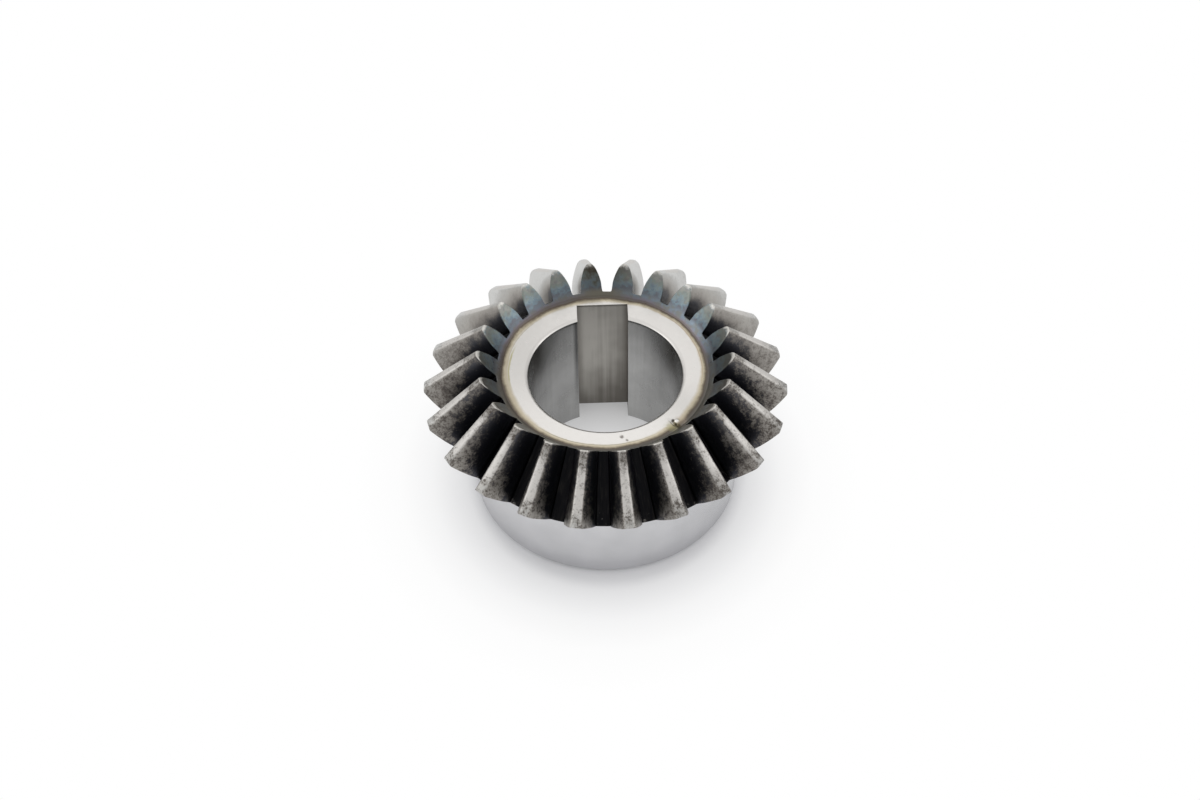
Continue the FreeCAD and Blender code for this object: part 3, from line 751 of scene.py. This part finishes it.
# The mean of each pattern is taken off, so that it moves the wear both ways.
uneven, streaky, gritty, drifting = [
    addNode(tree, "Math", {0: pattern, 1: gain, 2: -gain / 2}, operation="MULTIPLY_ADD")
    for pattern, gain in ((blotches, 1.6), (streaks, 0.4), (specks, 1.2), (clouds, 0.6))]
uneven = addNode(tree, "Math", {0: uneven, 1: streaky}, operation="ADD")
uneven = addNode(tree, "Math", {0: uneven, 1: gritty}, operation="ADD")
field = addNode(tree, "Math", {0: wornOut, 1: drifting}, operation="ADD")
field = addNode(tree, "Math", {0: uneven, 1: raggedOut, 2: field}, operation="MULTIPLY_ADD")
bare = addNode(tree, "MapRange", {"Value": field, "From Min": -0.36, "From Max": -0.08})
# The oxide is black in the root, its own colour with painted shade, and painted lighter near the tip as a
# sheen.
oxide = addNode(tree, "ValToRGB", {"Fac": standOut}, ramp=[(0.0, "rootOxideAndShade"), (0.04, "rootOxideAndShade"),
                (0.14, "oxideLow"), (0.35, "oxide"), (0.6, "oxide"), (0.95, "oxidePaintedSheen")])
smear = addNode(tree, "MapRange", {"Value": streaks, "From Min": 0.5, "From Max": 0.75, "To Max": 0.35})
oxide = addNode(tree, "Mix", {0: smear, 6: oxide, 7: "oxideBrown"}, output=2, data_type="RGBA")
fieldPlace = addNode(tree, "MapRange", {"Value": field, "From Min": -0.6, "From Max": 1.4})
steel = addNode(tree, "ValToRGB", {"Fac": fieldPlace}, ramp=[(0.0, "oxideThin"), (0.14, "wornDark"),
                (0.24, "wornDull"), (0.36, "wornMid"), (0.55, "wornPale"), (0.8, "satin"),
                (1.0, "satinPale")])
# Pits and spots in the bare steel, strongest where the wear is coarse.
grain = addNode(tree, "Math", {0: blotches, 1: gritty}, operation="ADD")
pitted = addNode(tree, "MapRange", {"Value": grain, "From Min": 0.5, "From Max": 0.33, "To Max": 0.85})
pitted = addNode(tree, "Math", {0: pitted, 1: coarseOut}, operation="MULTIPLY")
steel = addNode(tree, "Mix", {0: pitted, 6: steel, 7: "wornSpot"}, output=2, data_type="RGBA")
onLand = addNode(tree, "MapRange", {"Value": standOut, "From Min": 0.96, "From Max": 1.0},
                 interpolation_type="SMOOTHSTEP")
# The lands are bright in the middle and dull with pits at both ends.
ends = addNode(tree, "MapRange", {"Value": alongOut, "From Min": 0.05, "From Max": 0.3},
               interpolation_type="SMOOTHSTEP")
heelEnd = addNode(tree, "MapRange", {"Value": alongOut, "From Min": 1.0, "From Max": 0.72,
                  "To Min": 0.35}, interpolation_type="SMOOTHSTEP")
ends = addNode(tree, "Math", {0: ends, 1: heelEnd}, operation="MULTIPLY")
polished = addNode(tree, "Math", {0: grain, 1: 1.2, 2: ends}, operation="MULTIPLY_ADD")
polished = addNode(tree, "MapRange", {"Value": polished, "From Min": 1.12, "From Max": 1.58})
polished = addNode(tree, "Math", {0: polished, 1: onLand}, operation="MULTIPLY")
steel = addNode(tree, "Mix", {0: polished, 6: steel, 7: "land"}, output=2, data_type="RGBA")
dull = addNode(tree, "MapRange", {"Value": grain, "From Min": 0.62, "From Max": 0.42, "To Min": 0.6,
               "To Max": 1.3})
dull = addNode(tree, "Math", {0: dull, 1: dullOut}, operation="MULTIPLY")
dull = addNode(tree, "Math", {0: dull, 1: coarseOut}, operation="MULTIPLY")
steel = addNode(tree, "Mix", {0: dull, 6: steel, 7: "wornSpot"}, output=2, data_type="RGBA")
colour = addNode(tree, "Mix", {0: bare, 6: oxide, 7: steel}, output=2, data_type="RGBA")
# Toe edges are rubbed bright near the tips, with a painted highlight that is strongest at the front of
# the gear.
rubbed = addNode(tree, "Math", {0: rubAndGlintOut, 1: standOut}, operation="MULTIPLY")
rubbed = addNode(tree, "Math", {0: specks, 1: 0.8, 2: rubbed}, operation="MULTIPLY_ADD")
rubbed = addNode(tree, "MapRange", {"Value": rubbed, "From Min": 1.0, "From Max": 1.4})
colour = addNode(tree, "Mix", {0: rubbed, 6: colour, 7: "tipBare"}, output=2, data_type="RGBA")
# The oxide is a thin coat on the metal, so it is not wholly metallic.
metallic = addNode(tree, "MapRange", {"Value": bare, "To Min": 0.9, "To Max": 1.0})
tree.links.new(metallic, shader.inputs["Metallic"])
roughness = addNode(tree, "MapRange", {"Value": bare, "To Min": 0.34, "To Max": 0.44})
finishMaterial(tree, shader, colour, roughness, grain, depth)

print("turned, bored and broached steel")
# Hub and back: turned steel, satin grey, with fine rings of tool marks 0.17 mm apart and
# clouds of 6 mm.
tree, shader, depth = startMaterial("turned_steel")
place = addNode(tree, "TexCoord", output=3)
inMillimetres = addNode(tree, "VectorMath", {0: place, "Scale": 1000}, operation="SCALE")
apart = addNode(tree, "SeparateXYZ", {0: inMillimetres}, output=2)
rings = addNode(tree, "TexNoise", {"W": apart, "Scale": 6, "Detail": 4}, noise_dimensions="1D")
cloud = addNode(tree, "TexNoise", {"Vector": inMillimetres, "Scale": 0.16, "Detail": 4})
shade = addNode(tree, "Math", {0: cloud, 1: 0.7, 2: 0.15}, operation="MULTIPLY_ADD")
shade = addNode(tree, "Math", {0: rings, 1: 0.3, 2: shade}, operation="MULTIPLY_ADD")
colour = addNode(tree, "ValToRGB", {"Fac": shade}, ramp=[(0.35, "turnedDark"), (0.95, "turned")])
roughness = addNode(tree, "MapRange", {"Value": shade, "From Min": 0.3, "From Max": 1.0,
                    "To Min": 0.27, "To Max": 0.2})
finishMaterial(tree, shader, colour, roughness, rings, depth)

# Bore: bored steel, darker satin grey, with faint marks up the wall, 0.8 mm across and
# 20 mm long, and clouds of 6 mm.
tree, shader, depth = startMaterial("bored_steel")
place = addNode(tree, "TexCoord", output=3)
drawnOut = addNode(tree, "VectorMath", {0: place, 1: (1300, 1300, 50)}, operation="MULTIPLY")
marks = addNode(tree, "TexNoise", {"Vector": drawnOut, "Scale": 1.0, "Detail": 4})
cloud = addNode(tree, "TexNoise", {"Vector": place, "Scale": 160, "Detail": 4})
shade = addNode(tree, "Math", {0: marks, 1: 0.35, 2: cloud}, operation="MULTIPLY_ADD")
colour = addNode(tree, "ValToRGB", {"Fac": shade}, ramp=[(0.45, "boredDark"), (0.9, "bored")])
# Painted light and shade: the bore is painted lighter beside the keyway, most on the right, and darker at
# the sides near the top. There is a dark line where the keyway's left wall begins.
sideways = addNode(tree, "SeparateXYZ", {0: place}, output=0)
upBore = addNode(tree, "SeparateXYZ", {0: place}, output=2)
outwards = addNode(tree, "Math", {0: sideways}, operation="ABSOLUTE")
boreLightShadeAndLine = addNode(tree, "MapRange", {"Value": outwards, "From Min": 0.006, "From Max": 0.0125,
                "To Min": 1.0, "To Max": 0.0})
rightSideLight = addNode(tree, "MapRange", {"Value": sideways, "From Min": -0.001, "From Max": 0.001,
                   "To Min": 0.04, "To Max": 0.22})
boreLightShadeAndLine = addNode(tree, "Math", {0: boreLightShadeAndLine, 1: rightSideLight, 2: 1.0}, operation="MULTIPLY_ADD")
sideShadeMask = addNode(tree, "MapRange", {"Value": outwards, "From Min": 0.0085, "From Max": 0.013})
sideShadeDepth = addNode(tree, "MapRange", {"Value": sideways, "From Min": -0.001, "From Max": 0.001,
                   "To Min": -0.42, "To Max": -0.27})
upperShade = addNode(tree, "MapRange", {"Value": upBore, "From Min": 0.008, "From Max": 0.022,
                "To Max": sideShadeDepth})
boreLightShadeAndLine = addNode(tree, "Math", {0: sideShadeMask, 1: upperShade, 2: boreLightShadeAndLine}, operation="MULTIPLY_ADD")
fromLine = addNode(tree, "Math", {0: sideways, 1: gearFinish["boreLine"]}, operation="ADD")
fromLine = addNode(tree, "Math", {0: fromLine}, operation="ABSOLUTE")
lined = addNode(tree, "MapRange", {"Value": fromLine, "From Min": 0.0001, "From Max": 0.0007,
                "To Min": 1.0, "To Max": 0.0})
lineTone = addNode(tree, "MapRange", {"Value": upBore, "From Min": 0.002, "From Max": 0.02,
                   "To Min": 0.0, "To Max": -0.7})
boreLightShadeAndLine = addNode(tree, "Math", {0: lined, 1: lineTone, 2: boreLightShadeAndLine}, operation="MULTIPLY_ADD")
colour = addNode(tree, "Mix", {0: 1.0, 6: colour, 7: boreLightShadeAndLine}, output=2, data_type="RGBA",
                 blend_type="MULTIPLY", clamp_result=True)
roughness = addNode(tree, "MapRange", {"Value": shade, "From Min": 0.5, "From Max": 1.1,
                    "To Min": 0.28, "To Max": 0.22})
finishMaterial(tree, shader, colour, roughness, marks, depth)

# Keyway: broached steel with streaks up its floor, 0.5 mm across and 17 mm long, in bands of 1.4 mm, with
# painted shade in the corners.
tree, shader, depth = startMaterial("broached_steel")
place = addNode(tree, "TexCoord", output=3)
drawnOut = addNode(tree, "VectorMath", {0: place, 1: (1900, 1900, 60)}, operation="MULTIPLY")
marks = addNode(tree, "TexNoise", {"Vector": drawnOut, "Scale": 1.0, "Detail": 2})
cloud = addNode(tree, "TexNoise", {"Vector": place, "Scale": 120, "Detail": 2})
acrossKey = addNode(tree, "SeparateXYZ", {0: place}, output=0)
upKey = addNode(tree, "SeparateXYZ", {0: place}, output=2)
across = addNode(tree, "Math", {0: acrossKey}, operation="ABSOLUTE")
# Painted shade in the keyway's corners.
cornerShade = addNode(tree, "MapRange", {"Value": across, "From Min": 0.0035, "From Max": 0.005,
                   "To Max": 0.6}, interpolation_type="SMOOTHSTEP")
broad = addNode(tree, "TexNoise", {"W": acrossKey, "Scale": 700, "Detail": 2}, noise_dimensions="1D")
shade = addNode(tree, "Math", {0: marks, 1: 0.35, 2: cloud}, operation="MULTIPLY_ADD")
shade = addNode(tree, "Math", {0: broad, 1: 0.45, 2: shade}, operation="MULTIPLY_ADD")
# Less light reaches the foot of the keyway and its right side.
deep = addNode(tree, "MapRange", {"Value": upKey, "From Min": 0.0, "From Max": 0.028,
               "To Min": -0.44, "To Max": 0.15})
shade = addNode(tree, "Math", {0: shade, 1: deep}, operation="ADD")
shade = addNode(tree, "Math", {0: acrossKey, 1: -45.0, 2: shade}, operation="MULTIPLY_ADD")
colour = addNode(tree, "ValToRGB", {"Fac": shade}, ramp=[(0.3, "broachedDark"), (1.0, "broached")])
colour = addNode(tree, "Mix", {0: cornerShade, 6: colour, 7: "broachedDark"}, output=2, data_type="RGBA")
roughness = addNode(tree, "MapRange", {"Value": shade, "From Min": 0.5, "From Max": 1.3,
                    "To Min": 0.42, "To Max": 0.3})
finishMaterial(tree, shader, colour, roughness, marks, depth)


# Floor, light and camera

print("stage")
stage = {
    "floorHalf": 3,
    "paper": "e5e5e7",
    "paperRoughness": 0.9,
    "paperSpecular": 0.1,
    # Share of plain white painted over the paper as the camera and the metal see it, at distances from
    # the gear's axis in metres, measured with the sideways direction stretched.
    "whitening": [(0.0, 0.6), (0.0105, 0.53), (0.0155, 0.385), (0.0185, 0.27), (0.0262, 0.0),
                  (0.028, 0.08), (0.0305, 0.42), (0.038, 0.77), (0.045, 0.94), (0.055, 1.0)],
    "whiteningSpan": 0.06,
    "whiteningStretch": (1.08, 1, 1),
    "worldStrength": 0.86,
    # Lights with their places, their width and depth and their power in watts. All of
    # them point at one target.
    "lights": {
        "left_light": ((-0.85, -0.05, 0.38), (0.6, 0.6), 0.75),
        "right_light": ((0.85, -0.05, 0.38), (0.6, 0.6), 0.75),
        "back_light": ((0, 0.6, 0.7), (0.8, 0.5), 0.2),
    },
    "lightTarget": (0, 0, 0.02),
    # Camera, with lens and film in millimetres and its turn in degrees.
    "lensLength": 72.6956,
    "filmWidth": 36,
    "nearLimit": 0.01,
    "cameraPlace": (-0.008595, -0.317303, 0.373349),
    "cameraTurn": (42.03448, 0.52128, -1.93433),
}
half = stage["floorHalf"]
floorMesh = bpy.data.meshes.new("floor")
floorMesh.from_pydata([(-half, -half, 0), (half, -half, 0), (half, half, 0), (-half, half, 0)],
                      [], [(0, 1, 2, 3)])
floor = bpy.data.objects.new("floor", floorMesh)
scene.collection.objects.link(floor)
# White paper: matt, with hardly any sheen.
paper = bpy.data.materials.new("white_paper")
paper.use_nodes = True
floorMesh.materials.append(paper)
tree = paper.node_tree
paperShader = tree.nodes["Principled BSDF"]
paperShader.inputs["Base Color"].default_value = toLinear(stage["paper"])
paperShader.inputs["Roughness"].default_value = stage["paperRoughness"]
paperShader.inputs["Specular IOR Level"].default_value = stage["paperSpecular"]
# Painted light: seen by the camera, and in the metal, the paper is painted nearer to white than its light
# makes it, less near the gear and more further out, so the gear's shadow on it stays but fades out
# sooner; the paper seen through the bore is painted lighter too.
byCamera = addNode(tree, "LightPath", output="Is Camera Ray")
inMetal = addNode(tree, "LightPath", output="Is Glossy Ray")
seen = addNode(tree, "Math", {0: byCamera, 1: inMetal}, operation="MAXIMUM")
place = addNode(tree, "TexCoord", output=3)
away = addNode(tree, "VectorMath", {0: place, 1: stage["whiteningStretch"]}, operation="MULTIPLY")
away = addNode(tree, "VectorMath", {0: away}, output=1, operation="LENGTH")
away = addNode(tree, "Math", {0: away, 1: stage["whiteningSpan"]}, operation="DIVIDE")
whitened = addNode(tree, "FloatCurve", {"Value": away})
curve = whitened.node.mapping
points = curve.curves[0].points
while len(points) < len(stage["whitening"]):
    points.new(0.5, 0.5)
for point, (distance, share) in zip(points, stage["whitening"]):
    point.location = (distance / stage["whiteningSpan"], share)
    point.handle_type = "VECTOR"
curve.update()
share = addNode(tree, "Math", {0: seen, 1: whitened}, operation="MULTIPLY")
glow = addNode(tree, "Emission", {"Color": (1, 1, 1, 1), "Strength": 1.0})
blend = addNode(tree, "MixShader", {0: share, 1: paperShader.outputs[0], 2: glow})
tree.links.new(blend, tree.nodes["Material Output"].inputs["Surface"])

world = bpy.data.worlds.new("studio")
world.use_nodes = True
background = world.node_tree.nodes["Background"]
background.inputs["Color"].default_value = (1, 1, 1, 1)
background.inputs["Strength"].default_value = stage["worldStrength"]
scene.world = world

for name, (place, size, power) in stage["lights"].items():
    lamp = bpy.data.lights.new(name, "AREA")
    lamp.shape = "RECTANGLE"
    lamp.size, lamp.size_y = size
    lamp.energy = power
    holder = bpy.data.objects.new(name, lamp)
    holder.visible_camera = False
    holder.location = place
    aim = Vector(stage["lightTarget"]) - Vector(place)
    holder.rotation_euler = aim.to_track_quat("-Z", "Y").to_euler()
    scene.collection.objects.link(holder)

lens = bpy.data.cameras.new("camera")
lens.sensor_width = stage["filmWidth"]
lens.lens = stage["lensLength"]
lens.clip_start = stage["nearLimit"]
camera = bpy.data.objects.new("camera", lens)
camera.location = stage["cameraPlace"]
camera.rotation_euler = Euler([math.radians(angle) for angle in stage["cameraTurn"]])
scene.collection.objects.link(camera)
scene.camera = camera
